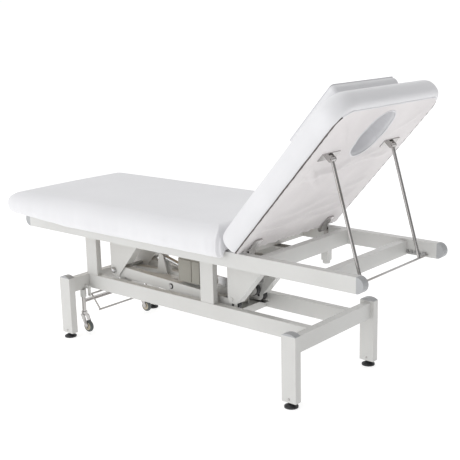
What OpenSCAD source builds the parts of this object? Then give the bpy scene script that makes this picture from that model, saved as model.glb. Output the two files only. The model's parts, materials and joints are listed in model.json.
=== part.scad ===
// Height-adjustable facial treatment bed.
// +X points to the head end, +Z up, and the origin is on the floor under the middle of the bed.
// It is drawn at its lowest height with the backrest raised.

/* [Base frame] */
// Length of the base over the legs
base_l = 1230; // [1100:10:1400]
// Width of the base over the legs
base_w = 520; // [480:10:600]
// Long side of the rectangular frame tube
tube_w = 60; // [50:1:65]
// Short side of the rectangular frame tube
tube_t = 30; // [25:1:32]
// Wall of every frame tube
wall = 2; // [1.5:0.5:3]
// Height of the leg tops
leg_top = 260; // [255:1:262]
// Height of the levelling feet below the leg tubes
foot_h = 20; // [18:1:30]
// Height of the tops of the base rails
base_rail_top = 253; // [250:1:255]
// Distance from the middle to a base rail's outer face
base_rail_y = 136; // [130:1:150]

/* [Upper frame] */
// Foot end of the long rails
rail_x0 = -770; // [-800:5:-740]
// Head end of the long rails
rail_x1 = 860; // [850:5:880]
// Width over the long rails
upper_w = 546; // [530:2:580]
// Height of the long rails' undersides
rail_z0 = 463; // [461:1:465]
// Depth of the long rails
rail_h = 55; // [50:1:60]

/* [Lift] */
// X of the foot-end arm pivots
pivot_x = -449; // [-460:1:-440]
// Height of the base arm pivots
pivot_z = 252; // [250:1:254]
// Height of the frame arm pivots above the base arm pivots
arm_rise = 30; // [28:1:32]
// Length of the scissor arms between pivots
arm_l = 648; // [640:1:650]
// Depth of the scissor arm tube
arm_h = 42; // [38:1:44]

/* [Cushions] */
// Width of both cushions
cushion_w = 640; // [600:10:660]
// Thickness of the seat cushion
seat_t = 101; // [90:1:110]
// Foot end of the seat cushion
seat_x0 = -862.5; // [-870:0.5:-850]
// Head end of the seat cushion
seat_x1 = 333; // [320:1:336]
// Thickness of the backrest cushion
back_t = 98; // [85:1:100]
// Length of the backrest cushion
back_l = 716; // [700:1:730]
// Length of the pillow
pillow_l = 262; // [240:2:280]
// Width of the pillow
pillow_w = 386; // [360:2:420]
// Thickness of the pillow
pillow_t = 52; // [45:1:60]

/* [Backrest] */
// Angle of the raised backrest to the floor
back_angle = 48.7; // [48.5:0.1:49]
// X of the backrest's back face at its lower end
back_x = 398; // [397:0.5:399]
// Height of the backrest's back face at its lower end
back_z = 534; // [533.5:0.5:535]

/* [Hidden] */

$fn = 64;
eps = 0.01;
clear = 0.3;                                  // gap between pieces on different bodies
sheet = 3;                                    // sheet steel of brackets and lugs

leg_x = base_l / 2;
leg_y = base_w / 2;
cross_x = leg_x - 13;                         // outer face of the base end cross-members
base_rail_z = base_rail_top - tube_w;
cap_rise = 9;
post_x = [-549, 107];
post_w = 65;
post_t = 25;
pad_t = 8;
lift_cross_h = 30;
lift_cross_top = base_rail_z + lift_cross_h;

rail_y = upper_w / 2;                         // outer face of a long rail
rail_in = rail_y - tube_t;
rail_top = rail_z0 + rail_h;
cap_r = rail_h / 2;

theta = asin(arm_rise / arm_l);               // slope of the arms at the lowest height
frame_pivot_z = pivot_z + arm_rise;
arm_end_x = pivot_x + arm_l * cos(theta);
outer_y = [62, 92];                           // outer arms' faces
inner_y = [22, 52];                           // inner arms' faces
roller_r = 24;
roller_w = 20;
roller_play = 2.6;                               // gap between a roller and its track
pin_r = 8;
track_x = [96, 228];                          // ends of the roller tracks and guides
bracket_foot_w = 44;                          // width of a lift bracket at its lower end
bracket_slope = 0.84;
bracket_bottom = 260;
box_top = 393;                                // top of the control box

act_x = 170;                                  // rear pivot of the actuator
act_z = 247;
crank_s = 200;                                // crank pin from the base arm pivot, along the arm
crank_up = 90;
crank_bar_r = 15;                                // cross bar that carries the crank
crank_x = pivot_x + crank_s * cos(theta) - crank_up * sin(theta);
crank_z = pivot_z + crank_s * sin(theta) + crank_up * cos(theta);
act_angle = atan2(crank_z - act_z, crank_x - act_x);
act_l = norm([crank_x - act_x, crank_z - act_z]);

hinge_x = 390.7;                              // backrest hinge axis
hinge_z = 512;
hinge_y = [198, 238];
hole_s = 522;                                 // breathing hole centre along the backrest
hole_r = 75;
hole_half = 25;
prop_s = 452;                                 // prop pivots, along the backrest and behind it
prop_off = 18;
prop_y = 185;
prop_x = back_x + prop_s * cos(back_angle) + prop_off * sin(back_angle);
prop_z = back_z + prop_s * sin(back_angle) - prop_off * cos(back_angle);
bar_x = 825;                                  // prop crossbar
bar_z = 472;
bar_r = 4;
rod_r = 6;
rod_l = norm([bar_x - prop_x, bar_z - prop_z]);
rod_tilt = atan2(bar_x - prop_x, prop_z - bar_z);

caster_x = -574;
caster_y = 172;
wheel_r = 25;
wheel_z = 32.5;
wheel_trail = 24;
wheel_w = 18;
sleeve_z = 160;                               // lower end of the caster post sleeves
pedal_x = -546;                               // pedal axle
pedal_z = 172;
pedal_r = 4;
bail_y = 150;                                 // distance from the middle to the bail's arms

white = [0.93, 0.93, 0.92];
grey = [0.62, 0.63, 0.65];
chrome = [0.78, 0.78, 0.8];
leather = [0.96, 0.96, 0.97];
black = [0.08, 0.08, 0.09];

// ---- shared shapes ----

module both_sides() {
    children();
    mirror([0, 1, 0]) children();
}

// Block between two corners
module block(lo, hi) {
    translate(lo) cube(hi - lo);
}

// Rectangular tube between two corners, open at both ends along X, Y or Z
module box_tube(lo, hi, along) {
    run = [along == 0 ? 1 : 0, along == 1 ? 1 : 0, along == 2 ? 1 : 0];
    inset = [wall, wall, wall] - run * (wall + 1);
    difference() {
        block(lo, hi);
        block(lo + inset, hi - inset);
    }
}

// Cylinder along Y between two Y values
module bar_y(x, z, r, y0, y1) {
    translate([x, y1, z]) rotate([90, 0, 0]) cylinder(r = r, h = y1 - y0);
}

// A profile drawn in X and Z, made solid between two Y values
module slab_y(y0, y1) {
    translate([0, y1, 0]) rotate([90, 0, 0]) linear_extrude(y1 - y0) children();
}

// What rounding takes from a corner at p, for a shape that lies towards dir
module corner_off(p, r, dir) {
    mid = p + [dir[0] * r, dir[1] * r];
    difference() {
        translate([min(p[0] - dir[0], mid[0]), min(p[1] - dir[1], mid[1])]) square(r + 1);
        translate(mid) circle(r = r, $fn = 96);
    }
}

// Rectangle whose corners have their own radii: low-low, high-low, high-high, low-high
module soft_rect(lo, hi, radii) {
    difference() {
        translate(lo) square(hi - lo);
        corner_off(lo, radii[0], [1, 1]);
        corner_off([hi[0], lo[1]], radii[1], [-1, 1]);
        corner_off(hi, radii[2], [-1, -1]);
        corner_off([lo[0], hi[1]], radii[3], [1, -1]);
    }
}

// Cushion: side profile, end profile and plan, each with rounded corners, cut from one another
module cushion(lo, hi, side_radii, end_radii, plan_radii) {
    intersection() {
        slab_y(lo[1], hi[1]) soft_rect([lo[0], lo[2]], [hi[0], hi[2]], side_radii);
        translate([lo[0], 0, 0]) rotate([90, 0, 90]) linear_extrude(hi[0] - lo[0])
            soft_rect([lo[1], lo[2]], [hi[1], hi[2]], end_radii);
        translate([0, 0, lo[2]]) linear_extrude(hi[2] - lo[2])
            soft_rect([lo[0], lo[1]], [hi[0], hi[1]], plan_radii);
    }
}

// Puts children drawn flat, with X up the backrest and Z out of its front, on the raised backrest
module on_back() {
    translate([back_x, 0, back_z]) rotate([0, -back_angle, 0]) children();
}

// ---- base ----

module base_rail() {
    box_tube([-cross_x + tube_t, -base_rail_y, base_rail_z],
             [cross_x - tube_t, -base_rail_y + tube_t, base_rail_top], 0);
}

module base_rail_near() {
    color(white) base_rail();
}

module base_rail_far() {
    color(white) mirror([0, 1, 0]) base_rail();
}

module base_cross() {
    box_tube([cross_x - tube_t, -leg_y + tube_t, base_rail_z], [cross_x, leg_y - tube_t, base_rail_top], 1);
}

module base_cross_head() {
    color(white) base_cross();
}

module base_cross_foot() {
    color(white) mirror([1, 0, 0]) base_cross();
}

// One leg tube, at the near side of the head end
module leg() {
    box_tube([leg_x - tube_w, -leg_y, foot_h], [leg_x, -leg_y + tube_t, leg_top], 2);
}

module leg_near_head() {
    color(white) leg();
}

module leg_far_head() {
    color(white) mirror([0, 1, 0]) leg();
}

module leg_near_foot() {
    color(white) mirror([1, 0, 0]) leg();
}

module leg_far_foot() {
    color(white) mirror([1, 0, 0]) mirror([0, 1, 0]) leg();
}

// Places children drawn about a leg's middle at all four legs
module at_legs() {
    for (sx = [-1, 1], sy = [-1, 1])
        translate([sx * (leg_x - tube_w / 2), sy * (leg_y - tube_t / 2), 0]) children();
}

// Moulded cap with a curved top and a spigot that fills the tube
module leg_caps() {
    crown_r = (pow(tube_w / 2, 2) + pow(cap_rise, 2)) / (2 * cap_rise);
    color(grey) at_legs() {
        intersection() {
            block([-tube_w / 2, -tube_t / 2, leg_top], [tube_w / 2, tube_t / 2, leg_top + cap_rise]);
            bar_y(0, leg_top + cap_rise - crown_r, crown_r, -tube_t, tube_t);
        }
        block([-tube_w / 2 + wall, -tube_t / 2 + wall, leg_top - 14],
              [tube_w / 2 - wall, tube_t / 2 - wall, leg_top + eps]);
    }
}

// Round foot with a cone, a screw and the plug that closes the leg
module levelling_feet() {
    color(black) at_legs() {
        cylinder(r = 25, h = 5);
        translate([0, 0, 5]) cylinder(r1 = 25, r2 = 10, h = 8);
        cylinder(r = 5, h = foot_h + 20);
        block([-tube_w / 2 + wall, -tube_t / 2 + wall, foot_h],
              [tube_w / 2 - wall, tube_t / 2 - wall, foot_h + 20]);
    }
}

// Screws that hold the plugs, on both sides of each leg
module foot_plug_screws() {
    color(chrome) at_legs() both_sides()
        bar_y(0, foot_h + 12, 4, tube_t / 2, tube_t / 2 + 2);
}

// Posts that carry the upper frame at its lowest height
module rest_posts() {
    color(white) for (px = post_x) both_sides()
        box_tube([px - post_w / 2, -base_rail_y, base_rail_top],
                 [px + post_w / 2, -base_rail_y + post_t, rail_z0 - pad_t - clear], 2);
}

module post_pads() {
    color(grey) for (px = post_x) both_sides()
        block([px - post_w / 2, -base_rail_y, rail_z0 - pad_t - clear],
              [px + post_w / 2, -base_rail_y + post_t, rail_z0 - clear]);
}

// Flat tube between the base rails
module lift_cross(x) {
    box_tube([x - tube_w / 2, -base_rail_y + tube_t, base_rail_z],
             [x + tube_w / 2, base_rail_y - tube_t, lift_cross_top], 1);
}

module lift_cross_foot() {
    color(white) lift_cross(pivot_x);
}

module lift_cross_head() {
    color(white) lift_cross(act_x);
}

// Ears on the base that hold the inner arms' pins
module arm_base_lugs() {
    ear_r = 15;
    color(white) both_sides() for (y = [inner_y[0] - 1 - sheet, inner_y[1] + 1])
        slab_y(y, y + sheet) difference() {
            union() {
                translate([pivot_x, pivot_z]) circle(r = ear_r);
                translate([pivot_x - ear_r, lift_cross_top]) square([2 * ear_r, pivot_z - lift_cross_top]);
            }
            translate([pivot_x, pivot_z]) circle(r = pin_r);
        }
}

module arm_base_pins() {
    color(chrome) both_sides() bar_y(pivot_x, pivot_z, pin_r, inner_y[0] - 1 - sheet, inner_y[1] + 1 + sheet);
}

// Plates that the outer rollers run on
module roller_tracks() {
    track_top = pivot_z - roller_r - roller_play;
    color(chrome) both_sides()
        block([track_x[0], outer_y[0], lift_cross_top], [track_x[1], outer_y[1], track_top]);
}

module actuator_lugs() {
    ear_r = 12;
    color(white) both_sides() slab_y(20, 20 + sheet) difference() {
        union() {
            translate([act_x, act_z]) circle(r = ear_r);
            translate([act_x - ear_r, lift_cross_top]) square([2 * ear_r, act_z - lift_cross_top]);
        }
        translate([act_x, act_z]) circle(r = 6);
    }
}

module actuator_rear_pin() {
    color(chrome) bar_y(act_x, act_z, 6, -20 - sheet - 3, 20 + sheet + 3);
}

// ---- scissor arms ----

// One arm drawn along X from its pivot at the origin, with a fork at the roller end
module arm(y0, y1, eye_r, centre_r) {
    fork = 44;
    r = arm_h / 2;
    difference() {
        union() {
            block([0, y0, -r], [arm_l, y1, r]);
            bar_y(0, 0, r, y0, y1);
            bar_y(arm_l, 0, r, y0, y1);
        }
        block([r + 8, y0 + wall, -r + wall], [arm_l - fork, y1 - wall, r - wall]);
        block([arm_l - fork, y0 + wall, -r - 1], [arm_l + r + 1, y1 - wall, r + 1]);
        bar_y(0, 0, eye_r, y0 - 1, y1 + 1);
        bar_y(arm_l / 2, 0, centre_r, y0 - 1, y1 + 1);
        bar_y(arm_l, 0, 6, y0 - 1, y1 + 1);
    }
}

module on_outer_arm() {
    translate([pivot_x, 0, frame_pivot_z]) rotate([0, theta, 0]) children();
}

module on_inner_arm() {
    translate([pivot_x, 0, pivot_z]) rotate([0, -theta, 0]) children();
}

// Pulley-like roller on its own short axle
module arm_roller(y0, y1) {
    mid = (y0 + y1) / 2;
    bar_y(arm_l, 0, roller_r, mid - roller_w / 2, mid + roller_w / 2);
    bar_y(arm_l, 0, 6, y0, y1);
}

module outer_arms() {
    color(white) on_outer_arm() both_sides() arm(outer_y[0], outer_y[1], pin_r, 12);
}

// Shaft that ties the outer arms and turns in the foot-end brackets
module frame_pivot_shaft() {
    color(chrome) bar_y(pivot_x, frame_pivot_z, pin_r, -104, 104);
}

module outer_rollers() {
    color(black) on_outer_arm() both_sides() arm_roller(outer_y[0], outer_y[1]);
}

module inner_arms() {
    color(white) on_inner_arm() {
        both_sides() arm(inner_y[0], inner_y[1], pin_r + 0.05, pin_r);
        bar_y(crank_s, 0, crank_bar_r, -inner_y[0], inner_y[0]);
    }
}

module inner_rollers() {
    color(black) on_inner_arm() both_sides() arm_roller(inner_y[0], inner_y[1]);
}

module arm_centre_pins() {
    color(chrome) on_inner_arm() both_sides() bar_y(arm_l / 2, 0, pin_r, inner_y[0], 96);
}

// Plates and pin that the actuator pushes
module actuator_crank() {
    color(white) on_inner_arm() {
        both_sides() slab_y(12, 12 + sheet + 1) difference() {
            union() {
                polygon([[crank_s - 30, 12], [crank_s + 30, 12],
                         [crank_s + 14, crank_up], [crank_s - 14, crank_up]]);
                translate([crank_s, crank_up]) circle(r = 14);
            }
            translate([crank_s, 0]) circle(r = crank_bar_r);
        }
        bar_y(crank_s, crank_up, 7, -16, 16);
    }
}

// ---- actuator ----

module on_actuator() {
    translate([act_x, 0, act_z]) rotate([0, -act_angle, 0]) children();
}

module actuator_housing() {
    color(grey) on_actuator() difference() {
        union() {
            rotate([0, 90, 0]) cylinder(r = 18, h = 300);
            bar_y(0, 0, 14, -16, 16);
            block([30, -17, -14], [80, 17, 66]);
        }
        translate([90, 0, 0]) rotate([0, 90, 0]) cylinder(r = 10.05, h = 300);
        bar_y(0, 0, 6.05, -30, 30);
    }
}

// Motor alongside the actuator's tube
module actuator_motor() {
    color([0.7, 0.69, 0.63]) on_actuator() translate([80, 0, 48])
        rotate([0, 90, 0]) cylinder(r = 21, h = 160);
}

module actuator_rod() {
    color(chrome) on_actuator() difference() {
        union() {
            translate([120, 0, 0]) rotate([0, 90, 0]) cylinder(r = 10, h = act_l - 120 - 14);
            bar_y(act_l, 0, 18, -10, 10);
        }
        bar_y(act_l, 0, 13, -11, 11);
    }
}

// ---- upper frame ----

module upper_rail() {
    box_tube([rail_x0, -rail_y, rail_z0], [rail_x1, -rail_in, rail_top], 0);
}

module upper_rail_near() {
    color(white) upper_rail();
}

module upper_rail_far() {
    color(white) mirror([0, 1, 0]) upper_rail();
}

// Half-round plugs in all four rail ends
module rail_end_caps() {
    color(grey) both_sides() for (end = [[rail_x0, -1], [rail_x1, 1]]) {
        intersection() {
            bar_y(end[0], rail_z0 + cap_r, cap_r, -rail_y, -rail_in);
            block([end[0] - (end[1] < 0 ? cap_r : 0), -rail_y, rail_z0],
                  [end[0] + (end[1] > 0 ? cap_r : 0), -rail_in, rail_top]);
        }
        block([min(end[0], end[0] - end[1] * 16), -rail_y + wall, rail_z0 + wall],
              [max(end[0], end[0] - end[1] * 16), -rail_in - wall, rail_top - wall]);
    }
}

module upper_cross_foot() {
    color(white) box_tube([rail_x0, -rail_in, rail_z0], [rail_x0 + tube_t, rail_in, rail_top], 1);
}

// Flat tubes over the posts, over the lift brackets and over the control box
module upper_cross_members() {
    color(white) for (x = [post_x[0], -385, -30, post_x[1], 250])
        box_tube([x - tube_w / 2, -rail_in, rail_z0], [x + tube_w / 2, rail_in, rail_z0 + tube_t], 1);
}

module upper_cross_back() {
    color(white) box_tube([460, -rail_in, rail_z0], [490, rail_in, rail_top], 1);
}

module upper_cross_tail() {
    color(white) box_tube([712, -rail_in, rail_z0 - 2], [742, rail_in, rail_top - 7], 1);
}

// Short tubes with round plugs under the backrest cross-member
module stub_posts() {
    color(white) both_sides() {
        block([460, 111, rail_z0 - 38], [490, 136, rail_z0]);
        translate([475, 123.5, rail_z0 - 50]) cylinder(r = 14, h = 12);
    }
}

// Trapezoid hanger: two plates and, along the slanted edge, a flange that starts at flange_z
module lift_bracket(x, hole_z, flange_z) {
    h = rail_z0 - bracket_bottom;
    top_w = bracket_foot_w + bracket_slope * h;
    function edge_x(z) = x + bracket_foot_w + bracket_slope * (z - bracket_bottom);
    for (y = [-100, -60]) slab_y(y, y + sheet) difference() {
        polygon([[x, rail_z0], [x, bracket_bottom + 18], [x + 10, bracket_bottom],
                 [x + bracket_foot_w, bracket_bottom], [x + top_w, rail_z0]]);
        translate([pivot_x, hole_z]) circle(r = pin_r + 0.05);
    }
    slab_y(-100 + sheet, -60)
        polygon([[edge_x(flange_z) - 4, flange_z], [edge_x(flange_z), flange_z],
                 [edge_x(rail_z0), rail_z0], [edge_x(rail_z0) - 4, rail_z0]]);
}

module lift_brackets_foot() {
    color(white) both_sides() lift_bracket(pivot_x - 19, frame_pivot_z, 317);
}

module lift_brackets_head() {
    color(white) both_sides() {
        lift_bracket(180, frame_pivot_z, bracket_bottom + 4);
        bar_y(199, 276, 7, -103, -100);
    }
}

// Angles that sit on the inner rollers
module roller_guides() {
    guide_z = frame_pivot_z + roller_r + roller_play;
    color(chrome) both_sides() {
        block([track_x[0], -57, guide_z], [track_x[1], -inner_y[0], guide_z + 5]);
        block([track_x[0], -57, guide_z + 5], [track_x[1], -54, guide_z + 30]);
    }
}

// Control box on a hanger plate
module control_box() {
    color([0.66, 0.65, 0.6]) {
        slab_y(-88, -28) soft_rect([-85, 297], [33, box_top], [6, 6, 6, 6]);
        block([-44, -60, box_top - eps], [-16, -57, rail_z0]);
    }
}

// Toothed strips inside the rails; each tooth is a slanted slot for the prop's crossbar
module prop_racks() {
    pitch = 15;
    color(black) both_sides() slab_y(-rail_in, -rail_in + 5) difference() {
        translate([745, bar_z - 6]) square([bar_x - bar_r - 0.8 - 745, 14]);
        for (i = [0:3]) translate([755 + pitch * i, bar_z + 4]) circle(r = 4.6);
        for (i = [0:3]) translate([755 + pitch * i - 4.6, bar_z + 4]) square([9.2, 5]);
    }
}

// Plates inside the rails with the pins that the backrest turns on
module hinge_pins() {
    color(chrome) both_sides() {
        slab_y(-rail_in, -rail_in + sheet) union() {
            translate([hinge_x, hinge_z]) circle(r = 10);
            translate([hinge_x - 10, hinge_z - 37]) square([20, 37]);
        }
        bar_y(hinge_x, hinge_z, 5, -rail_in, -hinge_y[0]);
    }
}

// ---- seat ----

module seat_board() {
    color([0.8, 0.68, 0.5]) block([-815, -290, rail_top], [315, 290, rail_top + 15]);
}

module seat_cushion() {
    color(leather) difference() {
        cushion([seat_x0, -cushion_w / 2, rail_top + 1], [seat_x1, cushion_w / 2, rail_top + 1 + seat_t],
                [20, 8, 44, 72], [14, 14, 47, 47], [66, 12, 12, 66]);
        block([-815, -290, rail_top - 5], [315, 290, rail_top + 15]);
    }
}

// ---- backrest ----

// Stadium-shaped breathing hole, drawn in the backrest's own plane
module breathing_hole(r) {
    for (s = [-hole_half, hole_half]) translate([hole_s + s, 0]) circle(r = r);
    translate([hole_s - hole_half, -r]) square([2 * hole_half, 2 * r]);
}

module back_outline(s0, s1, half_w, r) {
    soft_rect([s0, -half_w], [s1, half_w], [10, r, r, 10]);
}

module backrest_board() {
    color([0.8, 0.68, 0.5]) on_back() linear_extrude(15) difference() {
        back_outline(-8, 648, 292, 55);
        breathing_hole(hole_r + 4);
    }
}

module backrest_cushion() {
    color(leather) on_back() difference() {
        cushion([-14, -cushion_w / 2 + 2, 0], [-16 + back_l, cushion_w / 2 - 2, back_t],
                [8, 40, 42, 60], [14, 14, 42, 42], [14, 80, 80, 14]);
        linear_extrude(15) difference() {
            back_outline(-8, 648, 292, 55);
            breathing_hole(hole_r + 4);
        }
        translate([0, 0, -1]) linear_extrude(back_t + 2) breathing_hole(hole_r);
    }
}

// Thin cloth that closes the back
module backrest_lining() {
    color([0.86, 0.84, 0.85]) on_back() translate([0, 0, -1.5]) linear_extrude(1.5) difference() {
        back_outline(-12, 656, 300, 58);
        breathing_hole(hole_r + 2);
    }
}

// Cranked straps with the hinge eyes
module hinge_straps() {
    // Hinge axis in the backrest's own plane.
    ax = (hinge_x - back_x) * cos(back_angle) + (hinge_z - back_z) * sin(back_angle);
    az = (hinge_z - back_z) * cos(back_angle) - (hinge_x - back_x) * sin(back_angle);
    color(chrome) on_back() both_sides() slab_y(hinge_y[0], hinge_y[1] - 3) difference() {
        union() {
            translate([ax, az]) circle(r = 8);
            polygon([[ax, az - 8], [ax + 24, -8.5], [ax + 66, -8.5], [ax + 66, -4.7], [ax + 16, -4.7], [ax, -2]]);
            translate([ax + 36, -4.8]) square([30, 3.3]);
        }
        translate([ax, az]) circle(r = 5.05);
    }
}

// Winged plates with the ears that hold the prop
module prop_brackets() {
    color(chrome) on_back() both_sides() {
        block([prop_s - 16, prop_y - 50, -4.5], [prop_s + 16, prop_y + 50, -1.5]);
        for (y = [prop_y - 13, prop_y + 10]) slab_y(y, y + sheet) union() {
            translate([prop_s, -prop_off]) circle(r = 9);
            translate([prop_s - 9, -prop_off]) square([18, prop_off - 4]);
        }
        bar_y(prop_s, -prop_off, 4, prop_y - 15, prop_y + 15);
    }
}

module pillow() {
    lo = [632 - pillow_l, -pillow_w / 2, back_t + 0.4];
    hi = [632, pillow_w / 2, back_t + 0.4 + pillow_t];
    color(leather) on_back() cushion(lo, hi, [8, 8, 14, 14], [10, 10, 18, 18], [16, 16, 16, 16]);
}

// Two rods with eyes at the top and a crossbar at the bottom
module prop_frame() {
    color(chrome) {
        both_sides() translate([prop_x, prop_y, prop_z]) rotate([0, -rod_tilt, 0]) difference() {
            union() {
                translate([0, 0, -rod_l]) cylinder(r = rod_r, h = rod_l - 6);
                bar_y(0, 0, 8.5, -9.5, 9.5);
            }
            bar_y(0, 0, 4.05, -20, 20);
        }
        bar_y(bar_x, bar_z, bar_r, -rail_in + 1.5, rail_in - 1.5);
    }
}

// ---- retractable casters ----

// Sleeves under the foot cross-member for the caster posts, and the pedal's bearings
module caster_guides() {
    tab_z = base_rail_z + 3;
    color(white) both_sides() {
        translate([caster_x, caster_y, sleeve_z]) difference() {
            cylinder(r = 13, h = base_rail_z - sleeve_z);
            translate([0, 0, -1]) cylinder(r = 9.05, h = base_rail_z - sleeve_z + 2);
        }
        slab_y(bail_y + 10, bail_y + 10 + sheet) difference() {
            union() {
                translate([pedal_x, pedal_z]) circle(r = 9);
                translate([pedal_x - 9, pedal_z]) square([18, tab_z + 14 - pedal_z]);
                translate([-cross_x + tube_t, tab_z]) square([pedal_x + cross_x - tube_t, 14]);
            }
            translate([pedal_x, pedal_z]) circle(r = pedal_r + 0.05);
        }
    }
}

// Posts that carry the casters and slide in the sleeves, tied by a bar
module caster_carriage() {
    bar_top = sleeve_z - 13;
    color(chrome) {
        block([caster_x - 7, -caster_y, bar_top - 12], [caster_x + 7, caster_y, bar_top]);
        both_sides() translate([caster_x, caster_y, 96]) cylinder(r = 9, h = base_rail_z - 1 - 96);
    }
}

// Fork with its swivel head, for the near side
module caster_fork() {
    arm_t = 2.5;
    translate([caster_x, -caster_y, 80]) cylinder(r = 13, h = 15.7);
    translate([0, -caster_y, 0]) both_sides() {
        slab_y(wheel_w / 2 + 1.5, wheel_w / 2 + 1.5 + arm_t)
            polygon([[caster_x - 12, 82], [caster_x + 13, 82], [caster_x + wheel_trail + 8, wheel_z + 4],
                     [caster_x + wheel_trail + 5, wheel_z - 7], [caster_x + wheel_trail - 7, wheel_z - 5]]);
    }
    block([caster_x - 12, -caster_y - wheel_w / 2 - 4, 78], [caster_x + 13, -caster_y + wheel_w / 2 + 4, 82]);
    bar_y(caster_x + wheel_trail, wheel_z, 3, -caster_y - wheel_w / 2 - 5, -caster_y + wheel_w / 2 + 5);
}

module caster_wheel() {
    difference() {
        bar_y(caster_x + wheel_trail, wheel_z, wheel_r, -caster_y - wheel_w / 2, -caster_y + wheel_w / 2);
        bar_y(caster_x + wheel_trail, wheel_z, 3.05, -caster_y - wheel_w, -caster_y + wheel_w);
    }
}

module caster_fork_near() {
    color(chrome) caster_fork();
}

module caster_fork_far() {
    color(chrome) mirror([0, 1, 0]) caster_fork();
}

module caster_wheel_near() {
    color(black) caster_wheel();
}

module caster_wheel_far() {
    color(black) mirror([0, 1, 0]) caster_wheel();
}

// Bail that a foot presses to lower the casters
module caster_pedal() {
    bail_l = 78;
    slope = 50;
    color(chrome) translate([pedal_x, 0, pedal_z]) rotate([0, slope, 0]) {
        bar_y(0, 0, pedal_r, -bail_y - 18, bail_y + 18);
        bar_y(bail_l, 0, pedal_r, -bail_y - pedal_r, bail_y + pedal_r);
        both_sides() translate([0, bail_y, 0]) rotate([0, 90, 0]) cylinder(r = pedal_r - 0.6, h = bail_l);
    }
}

// Moves a piece from the base's own middle to the middle of the whole bed's box
module centred() {
    translate([-(seat_x0 + rail_x1 + cap_r) / 2, 0, 0]) children();
}

centred() base_rail_near();
centred() base_rail_far();
centred() base_cross_head();
centred() base_cross_foot();
centred() leg_near_head();
centred() leg_far_head();
centred() leg_near_foot();
centred() leg_far_foot();
centred() leg_caps();
centred() levelling_feet();
centred() foot_plug_screws();
centred() rest_posts();
centred() post_pads();
centred() lift_cross_foot();
centred() lift_cross_head();
centred() arm_base_lugs();
centred() arm_base_pins();
centred() roller_tracks();
centred() actuator_lugs();
centred() actuator_rear_pin();
centred() caster_guides();
centred() outer_arms();
centred() frame_pivot_shaft();
centred() outer_rollers();
centred() inner_arms();
centred() inner_rollers();
centred() arm_centre_pins();
centred() actuator_crank();
centred() actuator_housing();
centred() actuator_motor();
centred() actuator_rod();
centred() upper_rail_near();
centred() upper_rail_far();
centred() rail_end_caps();
centred() upper_cross_foot();
centred() upper_cross_members();
centred() upper_cross_back();
centred() upper_cross_tail();
centred() stub_posts();
centred() lift_brackets_foot();
centred() lift_brackets_head();
centred() roller_guides();
centred() control_box();
centred() prop_racks();
centred() hinge_pins();
centred() seat_board();
centred() seat_cushion();
centred() backrest_board();
centred() backrest_cushion();
centred() backrest_lining();
centred() hinge_straps();
centred() prop_brackets();
centred() pillow();
centred() prop_frame();
centred() caster_carriage();
centred() caster_fork_near();
centred() caster_fork_far();
centred() caster_wheel_near();
centred() caster_wheel_far();
centred() caster_pedal();
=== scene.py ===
"""Facial treatment bed: the soft goods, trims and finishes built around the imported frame.

Every size is in metres, in the frame's own axes: +X to the head end, +Z up.
"""

import json
import logging
import math
from dataclasses import dataclass, field
from enum import Enum

import bpy
import numpy as np
from mathutils import Matrix, Vector


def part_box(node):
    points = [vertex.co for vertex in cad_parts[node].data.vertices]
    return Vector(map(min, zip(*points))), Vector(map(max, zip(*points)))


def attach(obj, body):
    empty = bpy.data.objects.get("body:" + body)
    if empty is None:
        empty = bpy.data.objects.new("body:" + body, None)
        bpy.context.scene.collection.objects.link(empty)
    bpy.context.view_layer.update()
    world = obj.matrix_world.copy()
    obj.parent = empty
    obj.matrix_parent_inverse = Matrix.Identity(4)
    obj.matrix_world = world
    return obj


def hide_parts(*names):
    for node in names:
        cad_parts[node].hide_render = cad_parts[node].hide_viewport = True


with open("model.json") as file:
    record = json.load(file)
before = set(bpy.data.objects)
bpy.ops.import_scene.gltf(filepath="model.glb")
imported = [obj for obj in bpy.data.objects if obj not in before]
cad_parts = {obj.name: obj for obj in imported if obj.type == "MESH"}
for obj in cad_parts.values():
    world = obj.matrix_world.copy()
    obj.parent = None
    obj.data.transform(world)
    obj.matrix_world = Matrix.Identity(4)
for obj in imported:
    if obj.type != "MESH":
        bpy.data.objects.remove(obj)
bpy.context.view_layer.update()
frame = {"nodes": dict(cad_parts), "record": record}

log = logging.getLogger("treatment_bed")
Array = np.ndarray


# ---- finishes ----


class Grain(Enum):
    """Kind of fine surface relief that a finish has."""

    PEBBLE = "pebble"
    SPECKLE = "speckle"
    WEAVE = "weave"
    BRUSHED = "brushed"
    WOOD = "wood"


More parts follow.
